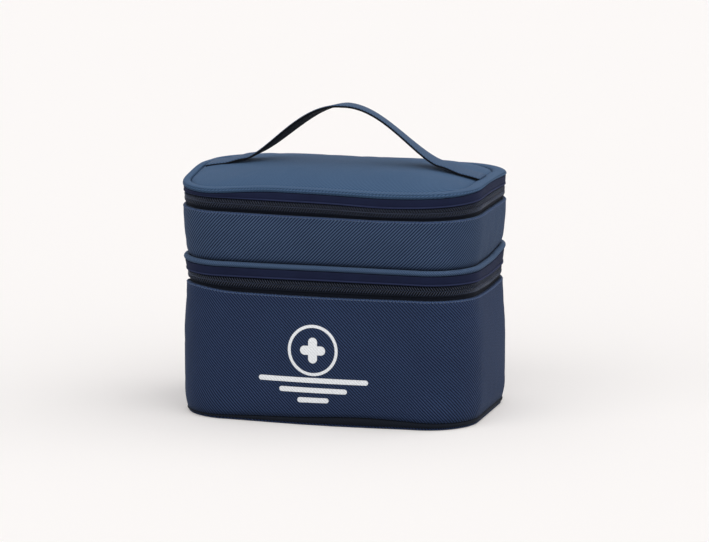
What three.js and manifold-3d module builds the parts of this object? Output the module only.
// Two-tier soft medicine storage bag with a carrying handle.
// Millimetres, +Z up. The origin is the middle of the underside; the front of the bag faces -Y.
// A lower box, an upper box and a lid are stacked. Each pair is joined by a coil zipper round the
// front and the sides, and by a fabric hinge across the back.

import * as THREE from "three";
import { mergeVertices } from "three/addons/utils/BufferGeometryUtils.js";
import Module from "manifold-3d";

const wasm = await Module();
wasm.setup();

// Plan outline, at the edge of the lid
const bagWidth = 230;
const bagDepth = 148;
const cornerRadius = 41;
const frontBulge = 4;
const smallestRadius = 2;

// Heights of the stacked pieces, from the table up
const seamGap = 0.3;
const bottomPanelThickness = 1.5;
const bottomPipingHeight = 3.2;
const lowerWallHeight = 91.7;
const lowerTapeReveal = 3.2;
const middleBandHeight = 7;
const middlePipingHeight = 4;
const upperWallHeight = 37.1;
const upperTapeReveal = 2.4;
const lidBandHeight = 6.3;
const lidPipingHeight = 4;
const lidPanelThickness = 3;
const lidCrownRise = 8.5;
const lidCrownRun = 40;

// How far each piece lies inside the plan outline
const bottomPanelInset = 3.5;
const bottomPanelChamfer = 1;
const bottomPipingInset = 2.2;
const bottomPipingWidth = 3.5;
const lowerHemInset = 2.5;
const lowerBellyInset = 0.8;
const lowerBellyTopHeight = 54;
const lowerBellyFootHeight = 18;
const lowerFootInset = 2.5;
const lowerChainInset = 3.3;
const middleBandTopInset = 1.4;
const middleBandFootInset = 2.1;
const middlePipingInset = 0.4;
const middlePipingWidth = 5;
const upperWallFootInset = 3.2;
const upperHemInset = 0.3;
const upperChainInset = 1.2;
const lidBandInset = 0.6;
const lidPipingWidth = 8.5;

// Cloth, padding and boards
const liningThickness = 0.8;
const upperWallPadding = 3.6;
const tapeThickness = 0.8;
const tapeSewnDepth = 6.5;
const tapeSlot = 2.4;

// Zipper chain
const chainWidth = 7.8;
const teethPerRow = 72;
const toothHeight = 2.2;
const toothThickness = 2;
const meshGap = 0.6;
const partedToothHeight = 1.3;
const partedGap = 1.8;
const chainEndAngle = 15;

// Zipper sliders and their pulls
const sliderLength = 10;
const sliderNoseWidth = 6.2;
const sliderTailWidth = 7.2;
const sliderShoulder = 2;
const sliderOuterPlate = 1.2;
const sliderInnerPlate = 1;
const sliderWebThickness = 1.2;
const sliderWebLength = 4.5;
const sliderWebSetback = 0.2;
const sliderFlange = 0.7;
const sliderFlangeLength = 9;
const sliderFlangeReach = 1.8;
const sliderNoseGap = 0.6;
const castOverlap = 0.2;
const crownBar = 0.9;
const crownLeg = 1;
const crownLift = 2.1;
const crownCorner = 0.4;
const eyeWall = 0.8;
const eyeLength = 5.6;
const eyeClearance = 0.3;
const pullLength = 24;
const pullWidth = 7.4;
const pullThickness = 1.2;
const pullNeckLength = 2.5;
const pullShoulderLength = 2;

// Fabric hinges across the back
const hingeWidth = 124;
const hingeThickness = 1.2;
const hingeParting = 2;

// Handle strap
const handleWidth = 21;
const handleThickness = 2;
const handleFootHalfSpan = 75;
const handleTop = 230;
const handleCurve = 1.4;
const handleArchSteps = 18;

// Dividers and lid pocket
const dividerSpacing = 72;
const dividerThickness = 3;
const dividerFlapWidth = 20;
const dividerFlapThickness = 1.6;
const lowerDividerHeight = 70;
const upperDividerHeight = 26;
const pocketInset = 13;
const pocketBindingWidth = 4;
const pocketBindingThickness = 1;
const pocketNetThickness = 0.6;

// Facets
const cornerSteps = 7;
const frontSteps = 6;
const lowerWallSteps = 6;
const crownRingShares = [0, 0.15, 0.35, 0.65, 1];
const pipingFacets = 8;
const eyeFacets = 16;

// Heights worked out from the stack
const bottomPipingBase = bottomPanelThickness + seamGap;
const lowerWallBase = bottomPipingBase + bottomPipingHeight + seamGap;
const lowerWallTop = lowerWallBase + lowerWallHeight;
const lowerChainMiddle = lowerWallTop + lowerTapeReveal + chainWidth / 2;
const middleBandBase = lowerChainMiddle + chainWidth / 2 + seamGap;
const middleBandTop = middleBandBase + middleBandHeight;
const middlePipingBase = middleBandTop + seamGap;
const middlePipingTop = middlePipingBase + middlePipingHeight;
const upperWallBase = middlePipingTop + seamGap;
const upperWallTop = upperWallBase + upperWallHeight;
const upperChainMiddle = upperWallTop + upperTapeReveal + chainWidth / 2;
const lidBandBase = upperChainMiddle + chainWidth / 2 + seamGap;
const lidBandTop = lidBandBase + lidBandHeight;
const lidPanelBase = lidBandTop + seamGap;
const lidPanelInset = lidPipingWidth + seamGap;

// Insets worked out from the chain that each layer carries
const tapeInsetOf = (chainInset) => chainInset + toothThickness + seamGap;
const liningInsetOf = (chainInset) => tapeInsetOf(chainInset) + tapeThickness + seamGap;
const lowerTapeInset = tapeInsetOf(lowerChainInset);
const upperTapeInset = tapeInsetOf(upperChainInset);
const lowerLiningInset = liningInsetOf(lowerChainInset);
const upperLiningInset = liningInsetOf(upperChainInset);

// Geometry from shared points and triangles, turned so that its faces point outwards
function solidFrom(points, triangles) {
  const geometry = new THREE.BufferGeometry();
  const positions = points.flatMap((point) => [point.x, point.y, point.z]);
  geometry.setAttribute("position", new THREE.Float32BufferAttribute(positions, 3));
  let volume = 0;
  for (const [a, b, c] of triangles) {
    volume += points[a].dot(new THREE.Vector3().crossVectors(points[b], points[c]));
  }
  const outward = volume > 0 ? triangles : triangles.map(([a, b, c]) => [a, c, b]);
  geometry.setIndex(outward.flat());
  return geometry;
}

// The outline is a run of stretches; each gives a point for a place along it and an inset
function outlineFrame(inset) {
  const radius = Math.max(cornerRadius - inset, smallestRadius);
  const halfWidth = bagWidth / 2 - inset;
  const halfDepth = bagDepth / 2 - inset;
  return { radius, halfWidth, halfDepth, x: halfWidth - radius, y: halfDepth - radius };
}

function cornerStretch(signX, signY, startDegrees) {
  return {
    steps: cornerSteps,
    length: (inset) => outlineFrame(inset).radius * Math.PI / 2,
    point(t, inset) {
      const frame = outlineFrame(inset);
      const angle = THREE.MathUtils.degToRad(startDegrees + 90 * t);
      const x = signX * frame.x + frame.radius * Math.cos(angle);
      const y = signY * frame.y + frame.radius * Math.sin(angle);
      return [x, y];
    },
  };
}

function sideStretch(sign) {
  return {
    steps: 1,
    length: (inset) => 2 * outlineFrame(inset).y,
    point(t, inset) {
      const frame = outlineFrame(inset);
      return [sign * frame.halfWidth, sign * frame.y * (2 * t - 1)];
    },
  };
}

const frontStretch = {
  steps: frontSteps,
  length: (inset) => 2 * outlineFrame(inset).x,
  point(t, inset) {
    const frame = outlineFrame(inset);
    const along = 2 * t - 1;
    return [frame.x * along, -frame.halfDepth - frontBulge * (1 - along * along)];
  },
};

function backStretch(startOf, endOf) {
  return {
    steps: 1,
    length: (inset) => Math.abs(endOf(inset) - startOf(inset)),
    point: (t, inset) => [
      THREE.MathUtils.lerp(startOf(inset), endOf(inset), t),
      outlineFrame(inset).halfDepth,
    ],
  };
}

const hingeEnd = hingeWidth / 2 + seamGap;
const cornerEnd = (inset) => outlineFrame(inset).x;
const chainStretches = [
  cornerStretch(-1, 1, 90),
  sideStretch(-1),
  cornerStretch(-1, -1, 180),
  frontStretch,
  cornerStretch(1, -1, 270),
  sideStretch(1),
  cornerStretch(1, 1, 0),
];
const backLeft = backStretch(() => -hingeEnd, (inset) => -cornerEnd(inset));
const backRight = backStretch(cornerEnd, () => hingeEnd);
const zipperStretches = [backLeft, ...chainStretches, backRight];

// Places round the bag from one end of the zipper to the other, each a stretch and a share of it.
// A closed ring uses the same places, and its last span crosses the hinge.
const stations = zipperStretches.flatMap((stretch) => (
  Array.from({ length: stretch.steps }, (_, step) => ({ stretch, t: step / stretch.steps }))
));
stations.push({ stretch: backRight, t: 1 });

const placePoint = ({ stretch, t }, [inset, z]) => new THREE.Vector3(...stretch.point(t, inset), z);

// A section of [inset, z] points swept round the bag, or along a part of the way with flat ends
function sweep(places, sectionAt, closed) {
  const sections = places.map((place, index) => sectionAt(index, place));
  const count = sections[0].length;
  const points = sections.flatMap((section, index) => (
    section.map((corner) => placePoint(places[index], corner))
  ));
  const triangles = [];
  const spans = closed ? places.length : places.length - 1;
  for (let index = 0; index < spans; index += 1) {
    const near = index * count;
    const far = ((index + 1) % places.length) * count;
    for (let corner = 0; corner < count; corner += 1) {
      const next = (corner + 1) % count;
      triangles.push([near + corner, far + corner, far + next]);
      triangles.push([near + corner, far + next, near + next]);
    }
  }
  if (!closed) {
    const last = (places.length - 1) * count;
    const flat = (section) => section.map(([inset, z]) => new THREE.Vector2(inset, z));
    for (const [start, direction] of [[0, 1], [last, -1]]) {
      const section = flat(sections[start / count]);
      const turn = direction * Math.sign(THREE.ShapeUtils.area(section));
      for (const face of THREE.ShapeUtils.triangulateShape(section, [])) {
        const same = Math.sign(THREE.ShapeUtils.area(face.map((corner) => section[corner]))) === turn;
        const [a, b, c] = face.map((corner) => start + corner);
        triangles.push(same ? [a, b, c] : [a, c, b]);
      }
    }
  }
  return solidFrom(points, triangles);
}

const ringSolid = (section) => sweep(stations, () => section, true);
const zipperSolid = (section) => sweep(stations, () => section, false);

// Rings of [inset, z] laid one after another, with the first and the last one closed over
function stackSolid(profile) {
  const points = profile.flatMap((corner) => stations.map((place) => placePoint(place, corner)));
  const count = stations.length;
  const triangles = [];
  for (let ring = 0; ring + 1 < profile.length; ring += 1) {
    for (let index = 0; index < count; index += 1) {
      const next = (index + 1) % count;
      const near = ring * count;
      const far = near + count;
      triangles.push([near + index, near + next, far + next]);
      triangles.push([near + index, far + next, far + index]);
    }
  }
  const lastRing = (profile.length - 1) * count;
  const firstCentre = points.push(new THREE.Vector3(0, 0, profile[0][1])) - 1;
  const lastCentre = points.push(new THREE.Vector3(0, 0, profile.at(-1)[1])) - 1;
  for (let index = 0; index < count; index += 1) {
    const next = (index + 1) % count;
    triangles.push([firstCentre, next, index]);
    triangles.push([lastCentre, lastRing + index, lastRing + next]);
  }
  return solidFrom(points, triangles);
}

// A rolled edge, round on its outside
function pipingSection(inset, width, base, height) {
  const section = [];
  for (let facet = 0; facet < pipingFacets; facet += 1) {
    const angle = 2 * Math.PI * (facet + 0.5) / pipingFacets;
    const grow = 1 / Math.cos(Math.PI / pipingFacets);
    section.push([
      inset + width / 2 * (1 - grow * Math.cos(angle)),
      base + height / 2 * (1 + grow * Math.sin(angle)),
    ]);
  }
  return section;
}

const slab = (outer, inner, base, top) => [[outer, base], [outer, top], [inner, top], [inner, base]];

// Booleans on closed meshes
function toManifold(geometry) {
  const bare = geometry.clone();
  bare.deleteAttribute("normal");
  bare.deleteAttribute("uv");
  const merged = mergeVertices(bare);
  const mesh = new wasm.Mesh({
    numProp: 3,
    vertProperties: new Float32Array(merged.attributes.position.array),
    triVerts: new Uint32Array(merged.index.array),
  });
  return new wasm.Manifold(mesh);
}

function join(geometries) {
  const joined = geometries.map(toManifold).reduce((left, right) => left.add(right));
  const mesh = joined.getMesh();
  const geometry = new THREE.BufferGeometry();
  geometry.setAttribute("position", new THREE.BufferAttribute(new Float32Array(mesh.vertProperties), 3));
  geometry.setIndex(new THREE.BufferAttribute(new Uint32Array(mesh.triVerts), 1));
  return geometry;
}

function extrude(points, depth, holes = []) {
  const shape = new THREE.Shape(points.map(([u, v]) => new THREE.Vector2(u, v)));
  shape.holes = holes;
  return new THREE.ExtrudeGeometry(shape, { depth, bevelEnabled: false, curveSegments: eyeFacets / 2 });
}

// A flat outline in X and Z, given its thickness along Y about the middle
function extrudeAlongY(points, depth, holes) {
  return extrude(points, depth, holes).translate(0, 0, -depth / 2).rotateX(Math.PI / 2);
}

// A flat outline in Y and Z, given its thickness along X from the start
function extrudeAlongX(points, depth) {
  const turn = new THREE.Matrix4().makeBasis(
    new THREE.Vector3(0, 1, 0),
    new THREE.Vector3(0, 0, 1),
    new THREE.Vector3(1, 0, 0),
  );
  return extrude(points, depth).applyMatrix4(turn);
}

// Finishes
const finish = (color, roughness, metalness = 0) => ({ color, roughness, metalness });
const shellTwill = finish("#3a4a66", 0.75);
const bandTwill = finish("#23283c", 0.8);
const liningCloth = finish("#2a3040", 0.7);
const tapeCloth = finish("#1d2230", 0.85);
const coilNylon = finish("#20252f", 0.45);
const netCloth = finish("#15181f", 0.8);
const boardPlastic = finish("#6d7076", 0.6);
const sliderMetal = finish("#2a2d36", 0.35, 0.9);

const bag = new THREE.Group();

function addPiece(name, geometry, style) {
  const mesh = new THREE.Mesh(geometry, new THREE.MeshStandardMaterial(style));
  mesh.name = name;
  bag.add(mesh);
  return mesh;
}

// Underside: outer cloth, stiffening board and the piping in the bottom seam
function addBottom() {
  addPiece("bottom_panel", stackSolid([
    [bottomPanelInset + bottomPanelChamfer, 0],
    [bottomPanelInset, bottomPanelThickness / 2],
    [bottomPanelInset, bottomPanelThickness],
  ]), shellTwill);
  const boardInset = bottomPipingInset + bottomPipingWidth + seamGap;
  addPiece("bottom_board", stackSolid([
    [boardInset, bottomPipingBase],
    [boardInset, lowerWallBase - seamGap],
  ]), boardPlastic);
  addPiece("bottom_piping", ringSolid(
    pipingSection(bottomPipingInset, bottomPipingWidth, bottomPipingBase, bottomPipingHeight),
  ), shellTwill);
}

// Padded wall of the lower box: it bellies out a little and rolls in to the bottom seam
function addLowerBox() {
  const outer = new THREE.SplineCurve([
    new THREE.Vector2(lowerHemInset, lowerWallTop),
    new THREE.Vector2(lowerBellyInset, lowerWallBase + lowerBellyTopHeight),
    new THREE.Vector2(lowerBellyInset, lowerWallBase + lowerBellyFootHeight),
    new THREE.Vector2(lowerFootInset, lowerWallBase),
  ]).getPoints(lowerWallSteps).map((corner) => [corner.x, corner.y]);
  const rebate = lowerWallTop - tapeSewnDepth - seamGap;
  const inner = lowerLiningInset - seamGap;
  addPiece("lower_wall", ringSolid([
    ...outer,
    [inner, lowerWallBase],
    [inner, rebate],
    [lowerTapeInset - seamGap, rebate],
    [lowerTapeInset - seamGap, lowerWallTop],
  ]), shellTwill);
  addPiece("lower_lining", stackSolid([
    [lowerLiningInset, lowerWallBase],
    [lowerLiningInset, lowerWallTop],
    [lowerLiningInset + liningThickness, lowerWallTop],
    [lowerLiningInset + liningThickness, lowerWallBase + liningThickness],
  ]), liningCloth);
}

// Upper box: floor with its piping and hanging band, and a wall that narrows towards the floor
const upperFootLiningInset = upperWallFootInset + upperWallPadding + seamGap;

function addUpperBox() {
  const floorInset = middlePipingInset + middlePipingWidth + seamGap;
  addPiece("upper_floor_panel", stackSolid([
    [floorInset, middlePipingBase],
    [floorInset, middlePipingTop],
  ]), shellTwill);
  addPiece("middle_piping", ringSolid(
    pipingSection(middlePipingInset, middlePipingWidth, middlePipingBase, middlePipingHeight),
  ), shellTwill);
  addPiece("middle_band", ringSolid([
    [middleBandFootInset, middleBandBase],
    [middleBandTopInset, middleBandTop],
    [lowerTapeInset - seamGap, middleBandTop],
    [lowerTapeInset - seamGap, middleBandBase],
  ]), bandTwill);

  const rebate = upperWallTop - tapeSewnDepth - seamGap;
  addPiece("upper_wall", ringSolid([
    [upperWallFootInset, upperWallBase],
    [upperHemInset, upperWallTop],
    [upperTapeInset - seamGap, upperWallTop],
    [upperTapeInset - seamGap, rebate],
    [upperLiningInset - seamGap, rebate],
    [upperFootLiningInset - seamGap, upperWallBase],
  ]), shellTwill);
  addPiece("upper_lining", stackSolid([
    [upperFootLiningInset, upperWallBase],
    [upperLiningInset, rebate],
    [upperLiningInset, upperWallTop],
    [upperLiningInset + liningThickness, upperWallTop],
    [upperLiningInset + liningThickness, rebate],
    [upperFootLiningInset + liningThickness, upperWallBase + liningThickness],
  ]), liningCloth);
}

// Height of the lid's crowned top at an inset, on the rings that its facets use
const crownInsets = crownRingShares.map((share) => lidPanelInset + lidCrownRun * share);
const crownHeights = crownInsets.map((inset) => (
  lidPanelBase + lidPanelThickness
  + lidCrownRise * Math.sin(Math.PI / 2 * (inset - lidPanelInset) / lidCrownRun)
));

function crownHeightAt(inset) {
  const ring = crownInsets.findIndex((edge) => edge > inset);
  if (ring < 0) return crownHeights.at(-1);
  if (ring === 0) return crownHeights[0];
  const share = (inset - crownInsets[ring - 1]) / (crownInsets[ring] - crownInsets[ring - 1]);
  return THREE.MathUtils.lerp(crownHeights[ring - 1], crownHeights[ring], share);
}

// Lid: a crowned foam panel in a rolled edge, a dark band below it and a lining with a net pocket
function addLid() {
  addPiece("lid_band", ringSolid(
    slab(lidBandInset, upperTapeInset - seamGap, lidBandBase, lidBandTop),
  ), bandTwill);
  addPiece("lid_piping", ringSolid(
    pipingSection(0, lidPipingWidth, lidPanelBase, lidPipingHeight),
  ), shellTwill);
  addPiece("lid_panel", stackSolid([
    [lidPanelInset, lidPanelBase],
    ...crownInsets.map((inset, ring) => [inset, crownHeights[ring]]),
  ]), shellTwill);

  const ceiling = lidBandTop - liningThickness;
  addPiece("lid_lining", stackSolid([
    [upperLiningInset, lidBandTop],
    [upperLiningInset, lidBandBase],
    [upperLiningInset + liningThickness, lidBandBase],
    [upperLiningInset + liningThickness, ceiling],
  ]), liningCloth);
  const bindingBase = ceiling - seamGap - pocketBindingThickness;
  addPiece("lid_pocket_binding", ringSolid(
    slab(pocketInset, pocketInset + pocketBindingWidth, bindingBase, ceiling - seamGap),
  ), tapeCloth);
  const netInset = pocketInset + pocketBindingWidth + seamGap;
  const netBase = bindingBase + (pocketBindingThickness - pocketNetThickness) / 2;
  addPiece("lid_pocket_net", stackSolid([
    [netInset, netBase],
    [netInset, netBase + pocketNetThickness],
  ]), netCloth);
}

// Handle: one strap that lies on the lid at both ends and arches up between them
function addHandle() {
  const half = handleThickness / 2;
  const restHeight = (x) => crownHeightAt(bagWidth / 2 - Math.abs(x)) + seamGap + half;
  const footHeight = restHeight(handleFootHalfSpan);
  const rise = handleTop - half - footHeight;
  const end = bagWidth / 2 - lidPanelInset - seamGap;
  const feet = crownInsets.map((inset) => bagWidth / 2 - inset)
    .filter((x) => x > handleFootHalfSpan && x < end);
  const line = [end, ...feet].map((x) => new THREE.Vector2(-x, restHeight(x)));
  for (let step = 0; step <= handleArchSteps; step += 1) {
    const x = handleFootHalfSpan * (2 * step / handleArchSteps - 1);
    const share = Math.cos(Math.PI / 2 * x / handleFootHalfSpan);
    line.push(new THREE.Vector2(x, footHeight + rise * Math.max(share, 0) ** handleCurve));
  }
  line.push(...[...feet].reverse().map((x) => new THREE.Vector2(x, restHeight(x))));
  line.push(new THREE.Vector2(end, restHeight(end)));

  const side = (sign) => line.map((point, index) => {
    const before = line[Math.max(index - 1, 0)];
    const after = line[Math.min(index + 1, line.length - 1)];
    const along = new THREE.Vector2().subVectors(after, before).normalize();
    return [point.x - sign * half * along.y, point.y + sign * half * along.x];
  });
  addPiece("carry_handle", extrudeAlongY([...side(-1), ...side(1).reverse()], handleWidth), shellTwill);
}

// One row of zipper teeth: a strip with a saw-toothed edge, parted where the sliders stand
const chainPlaces = (() => {
  const steps = 2 * teethPerRow;
  const lengths = chainStretches.map((stretch) => stretch.length(upperChainInset));
  const trim = chainEndAngle / 90 * lengths[0];
  const total = lengths.reduce((sum, length) => sum + length, 0) - 2 * trim;
  const places = [];
  for (let step = 0; step <= steps; step += 1) {
    let rest = trim + total * step / steps;
    let index = 0;
    while (rest > lengths[index] && index < lengths.length - 1) {
      rest -= lengths[index];
      index += 1;
    }
    places.push({ stretch: chainStretches[index], t: rest / lengths[index] });
  }
  return places;
})();
const leftSide = chainStretches[1];

function toothRow(chainInset, middle, up) {
  return sweep(chainPlaces, (step, { stretch }) => {
    const parted = stretch === leftSide;
    const gap = parted ? partedGap : meshGap - toothHeight;
    const height = parted ? partedToothHeight : toothHeight;
    const tip = (step % 2 === 0) === (up > 0);
    const edge = middle - up * (gap / 2 + (tip ? 0 : height));
    const base = middle - up * chainWidth / 2;
    return slab(chainInset, chainInset + toothThickness, base, edge);
  }, false);
}

function addZipper(name, chainInset, middle, lowerTapeFoot, upperTapeTop) {
  const tapeInset = tapeInsetOf(chainInset);
  const tape = (base, top) => zipperSolid(slab(tapeInset, tapeInset + tapeThickness, base, top));
  addPiece(`${name}_zip_bottom_tape`, tape(lowerTapeFoot, middle - tapeSlot / 2), tapeCloth);
  addPiece(`${name}_zip_top_tape`, tape(middle + tapeSlot / 2, upperTapeTop), tapeCloth);
  addPiece(`${name}_zip_bottom_teeth`, toothRow(chainInset, middle, 1), coilNylon);
  addPiece(`${name}_zip_top_teeth`, toothRow(chainInset, middle, -1), coilNylon);
}

// Fabric hinge in two halves, one on each side of its axis
function addHinge(name, chainInset, middle, base, top) {
  const back = bagDepth / 2 - chainInset;
  const half = (low, high) => new THREE.BoxGeometry(hingeWidth, hingeThickness, high - low)
    .translate(0, back - hingeThickness / 2, (low + high) / 2);
  addPiece(`${name}_hinge_bottom_half`, half(base, middle - hingeParting / 2), shellTwill);
  addPiece(`${name}_hinge_top_half`, half(middle + hingeParting / 2, top), shellTwill);
}

// Slider, drawn with its nose towards +Y, its outer face towards +X and the chain's face at X = 0
function sliderGeometry() {
  const nose = sliderLength / 2;
  const wide = chainWidth / 2;
  const noseWide = sliderNoseWidth / 2;
  const tail = sliderTailWidth / 2;
  const plate = [
    [-nose, -tail], [sliderShoulder, -wide], [nose, -noseWide],
    [nose, noseWide], [sliderShoulder, wide], [-nose, tail],
  ];
  const outerFace = eyeClearance + sliderOuterPlate;
  const innerFace = -(toothThickness + seamGap + tapeThickness + eyeClearance);
  const outerPlate = extrudeAlongX(plate, sliderOuterPlate).translate(eyeClearance, 0, 0);
  const innerPlate = extrudeAlongX(plate, sliderInnerPlate).translate(innerFace - sliderInnerPlate, 0, 0);
  return join([outerPlate, innerPlate, sliderWeb(innerFace, outerFace), ...sliderRim(), crown(outerFace)]);
}

// The web joins the plates and parts the two rows of teeth
function sliderWeb(innerFace, outerFace) {
  const nose = sliderLength / 2;
  const half = sliderWebThickness / 2;
  const wedge = [
    [nose - sliderWebLength, 0],
    [nose - sliderWebLength / 2, -half],
    [nose - sliderWebSetback, -half],
    [nose - sliderWebSetback, half],
    [nose - sliderWebLength / 2, half],
  ];
  return extrudeAlongX(wedge, outerFace - innerFace).translate(innerFace - sliderInnerPlate / 2, 0, 0);
}

// The rim: the outer plate reaches below the chain, and a flange turns in under the teeth
function sliderRim() {
  const halfLength = sliderFlangeLength / 2;
  const rimTop = castOverlap - sliderTailWidth / 2;
  const flangeTop = -(chainWidth / 2 + eyeClearance);
  const flangeFoot = flangeTop - sliderFlange;
  const edge = extrudeAlongX([
    [-halfLength, rimTop], [halfLength, rimTop], [halfLength, flangeFoot], [-halfLength, flangeFoot],
  ], sliderOuterPlate).translate(eyeClearance, 0, 0);
  const flange = extrudeAlongX([
    [-halfLength, flangeTop], [halfLength, flangeTop], [halfLength, flangeFoot], [-halfLength, flangeFoot],
  ], sliderFlangeReach + eyeClearance + castOverlap).translate(-sliderFlangeReach, 0, 0);
  return [edge, flange];
}

// The crown: a bar on two legs that the pull's eye turns on
function crown(outerFace) {
  const legOut = eyeLength / 2 + eyeClearance + crownLeg;
  const legIn = legOut - crownLeg;
  const barTop = crownLift + crownBar / 2;
  const barFoot = crownLift - crownBar / 2;
  const outline = [
    [-castOverlap, -legOut], [barTop - crownCorner, -legOut], [barTop, -legIn], [barTop, legIn],
    [barTop - crownCorner, legOut], [-castOverlap, legOut], [-castOverlap, legIn],
    [barFoot, legIn], [barFoot, -legIn], [-castOverlap, -legIn],
  ];
  return extrude(outline, crownBar).translate(outerFace, 0, -crownBar / 2);
}

// Pull, drawn round its eye: the eye runs along Y and the tab hangs down
function pullGeometry() {
  const bore = crownBar / 2 * Math.SQRT2 + eyeClearance;
  const outside = bore + eyeWall;
  const circle = (radius) => Array.from({ length: eyeFacets }, (_, facet) => {
    const angle = 2 * Math.PI * facet / eyeFacets;
    return [radius * Math.cos(angle), radius * Math.sin(angle)];
  });
  const hole = new THREE.Path(circle(bore).map(([u, v]) => new THREE.Vector2(u, v)));
  const eye = extrudeAlongY(circle(outside), eyeLength, [hole]);
  const neck = eyeLength / 2;
  const wide = pullWidth / 2;
  const start = -(bore + eyeWall / 2);
  const neckFoot = -(outside + pullNeckLength);
  const shoulder = neckFoot - pullShoulderLength;
  const roundMiddle = wide - pullLength;
  const outline = [[-neck, start], [-neck, neckFoot], [-wide, shoulder], [-wide, roundMiddle]];
  for (let facet = 1; facet < eyeFacets / 2; facet += 1) {
    const angle = Math.PI + Math.PI * facet / (eyeFacets / 2);
    outline.push([wide * Math.cos(angle), roundMiddle + wide * Math.sin(angle)]);
  }
  outline.push([wide, roundMiddle], [wide, shoulder], [neck, neckFoot], [neck, start]);
  const tab = extrudeAlongX(outline, pullThickness).translate(-pullThickness / 2, 0, 0);
  return join([eye, tab]);
}

// Two sliders on each chain stand nose to nose in the middle of the left side
function addSliders(name, chainInset, middle) {
  const face = -(bagWidth / 2 - chainInset);
  const axis = face - eyeClearance - sliderOuterPlate - crownLift;
  for (const [place, sign] of [["front", -1], ["rear", 1]]) {
    const centre = sign * (sliderLength + sliderNoseGap) / 2;
    const slider = sliderGeometry();
    slider.applyMatrix4(new THREE.Matrix4().makeScale(-1, -sign, 1));
    if (sign < 0) slider.index.array.reverse();
    const sliderMesh = addPiece(`${name}_slider_${place}`, slider, sliderMetal);
    sliderMesh.position.set(face, centre, middle);
    const pullMesh = addPiece(`${name}_pull_${place}`, pullGeometry(), sliderMetal);
    pullMesh.position.set(axis, centre, middle);
  }
}

// Padded divider with a flap at each end that grips the lining
function divider(x, base, height, insetAtFoot, insetAtTop) {
  const reach = Math.abs(x) + dividerFlapWidth / 2;
  const bulge = frontBulge * (1 - (reach / cornerEnd(insetAtTop)) ** 2);
  const backAt = (inset) => bagDepth / 2 - inset;
  const frontAt = (inset) => -(bagDepth / 2 - inset + bulge);
  const top = base + height;
  const web = extrudeAlongX([
    [frontAt(insetAtFoot), base],
    [backAt(insetAtFoot), base],
    [backAt(insetAtTop), top],
    [frontAt(insetAtTop), top],
  ], dividerThickness).translate(x - dividerThickness / 2, 0, 0);
  const flap = (edge, direction) => extrudeAlongX([
    [edge(insetAtFoot), base],
    [edge(insetAtTop), top],
    [edge(insetAtTop) + direction * dividerFlapThickness, top],
    [edge(insetAtFoot) + direction * dividerFlapThickness, base],
  ], dividerFlapWidth).translate(x - dividerFlapWidth / 2, 0, 0);
  return join([web, flap(backAt, -1), flap(frontAt, 1)]);
}

function addDividers() {
  const lowerInset = lowerLiningInset + liningThickness + seamGap;
  const lowerBase = lowerWallBase + liningThickness + seamGap;
  for (const [place, sign] of [["left", -1], ["right", 1]]) {
    const geometry = divider(sign * dividerSpacing / 2, lowerBase, lowerDividerHeight, lowerInset, lowerInset);
    addPiece(`lower_divider_${place}`, geometry, liningCloth);
  }
  const base = upperWallBase + liningThickness + seamGap;
  const footInset = upperFootLiningInset + liningThickness + seamGap;
  const rebate = upperWallTop - tapeSewnDepth - seamGap;
  const share = (base + upperDividerHeight - upperWallBase) / (rebate - upperWallBase);
  const topInset = THREE.MathUtils.lerp(footInset, upperLiningInset + liningThickness + seamGap, share);
  addPiece("upper_divider", divider(0, base, upperDividerHeight, footInset, topInset), liningCloth);
}

addBottom();
addLowerBox();
addUpperBox();
addLid();
addHandle();
addZipper("lower", lowerChainInset, lowerChainMiddle, lowerWallTop - tapeSewnDepth, middleBandTop);
addZipper("upper", upperChainInset, upperChainMiddle, upperWallTop - tapeSewnDepth, lidBandTop);
addHinge("lower", lowerChainInset, lowerChainMiddle, lowerWallTop + seamGap, middleBandBase - seamGap);
addHinge("upper", upperChainInset, upperChainMiddle, upperWallTop + seamGap, lidBandBase - seamGap);
addSliders("lower", lowerChainInset, lowerChainMiddle);
addSliders("upper", upperChainInset, upperChainMiddle);
addDividers();

export default bag;
